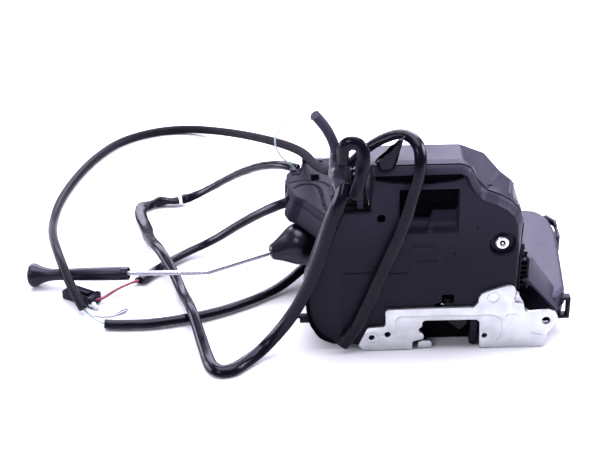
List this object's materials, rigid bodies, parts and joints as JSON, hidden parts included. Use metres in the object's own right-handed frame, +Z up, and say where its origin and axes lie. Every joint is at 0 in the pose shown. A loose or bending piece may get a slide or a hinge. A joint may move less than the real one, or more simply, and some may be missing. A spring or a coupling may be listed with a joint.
{
  "type": "door latch actuator",
  "caption": "Vehicle door latch with a steel latch plate, forked striker mouth, powered lock actuator housing, lock rod with knob and cut cable leads.",
  "frame": {"origin": "middle of the striker mouth on the latch plate's outer face, at the level of the surface that the part lies on", "axes": "+X along the latch plate away from the lock rod, -Y out of the latch plate's outer face, +Z up from the open mouth into the latch"},
  "size_m": [0.3121, 0.3018, 0.1445],
  "materials": {
    "zinc_plate": "bright zinc-plated sheet steel",
    "screw_steel": "bright steel",
    "tool_steel": "hardened steel",
    "spring_steel": "drawn spring wire",
    "dark_metal": "dark coated steel",
    "rod_steel": "zinc-plated rod",
    "motor_steel": "plain steel can",
    "brass": "plain brass",
    "black_plastic": "fine-grained matte black",
    "lid_plastic": "fine-grained matte black, a little lighter",
    "grey_plastic": "plain grey",
    "white_plastic": "natural acetal",
    "black_rubber": "smooth moulded rubber",
    "tape": "black cloth and vinyl tape",
    "sleeve_black": "glossy vinyl sleeve",
    "hose_black": "smooth semi-gloss tube",
    "wire_green": "pale green insulation",
    "wire_red": "red insulation",
    "wire_white": "white insulation",
    "white_tie": "white nylon"
  },
  "bodies": {
    "housing": {"actuator_case": "black_plastic", "actuator_lid": "black_plastic", "bumper_clip": "zinc_plate", "bundle_tape": "tape", "cable_clip": "black_plastic", "connector_plug": "black_plastic", "cover_screw": "screw_steel", "fork_pin": "screw_steel", "fork_spring": "spring_steel", "fork_switch": "grey_plastic", "front_cover": "black_plastic", "hose_loop": "hose_black", "hose_stub": "hose_black", "latch_body": "black_plastic", "latch_plate": "zinc_plate", "lock_lever_pin": "screw_steel", "lock_switch": "grey_plastic", "module_case": "black_plastic", "module_lid": "lid_plastic", "motor_can": "motor_steel", "motor_end_cap": "grey_plastic", "mouth_bumper": "black_rubber", "mouth_liner": "black_plastic", "pawl_pin": "zinc_plate", "pawl_spring": "spring_steel", "release_pin": "screw_steel", "release_spring": "spring_steel", "rod_boot": "black_rubber", "rubber_end": "sleeve_black", "side_case": "black_plastic", "side_lid": "lid_plastic", "side_shroud": "black_plastic", "sleeve_arch": "sleeve_black", "sleeve_flat": "sleeve_black", "sleeve_front": "sleeve_black", "sleeve_left": "sleeve_black", "sleeve_lower": "sleeve_black", "terminal": "zinc_plate", "white_tie": "white_tie", "wire_green": "wire_green", "wire_loop": "spring_steel", "wire_red": "wire_red", "wire_white": "wire_white"},
    "fork_body": {"fork": "tool_steel", "fork_coat": "black_plastic"},
    "pawl_body": {"pawl": "tool_steel"},
    "release_body": {"release_lever": "dark_metal"},
    "rod_body": {"lock_rod": "rod_steel", "lock_knob": "black_plastic"},
    "lever_body": {"lock_lever": "white_plastic"},
    "worm_body": {"worm": "brass"}
  },
  "joints": [
    {"name": "fork_turn", "type": "hinge", "parent": "housing", "child": "fork_body", "pos_m": [-0.008, 0.007, 0.0255], "axis": [0, -1, 0], "range_deg": [0, 45]},
    {"name": "pawl_turn", "type": "hinge", "parent": "housing", "child": "pawl_body", "pos_m": [0.0211, 0.0068, 0.0328], "axis": [0, -1, 0], "range_deg": [-10, 6]},
    {"name": "release_turn", "type": "hinge", "parent": "housing", "child": "release_body", "pos_m": [-0.0535, 0.019, 0.076], "axis": [0, 1, 0], "range_deg": [-10, 5]},
    {"name": "lock_rod_slide", "type": "slide", "parent": "housing", "child": "rod_body", "axis": [0.9567, 0.2231, 0.1869], "range_m": [0, 0.008]},
    {"name": "lock_lever_turn", "type": "hinge", "parent": "housing", "child": "lever_body", "pos_m": [-0.04839, 0.04494, 0.03], "axis": [0, 0, -1], "range_deg": [0, 18]},
    {"name": "worm_spin", "type": "hinge", "parent": "housing", "child": "worm_body", "pos_m": [-0.02409, 0.047, 0.02], "axis": [0, 1, 0], "range_deg": [-10, 900]}
  ],
  "couplings": [
    {"joint": "lock_lever_turn", "follows": "lock_rod_slide", "rad_per_m": 37.5},
    {"joint": "worm_spin", "follows": "lock_rod_slide", "rad_per_m": 1880}
  ]
}
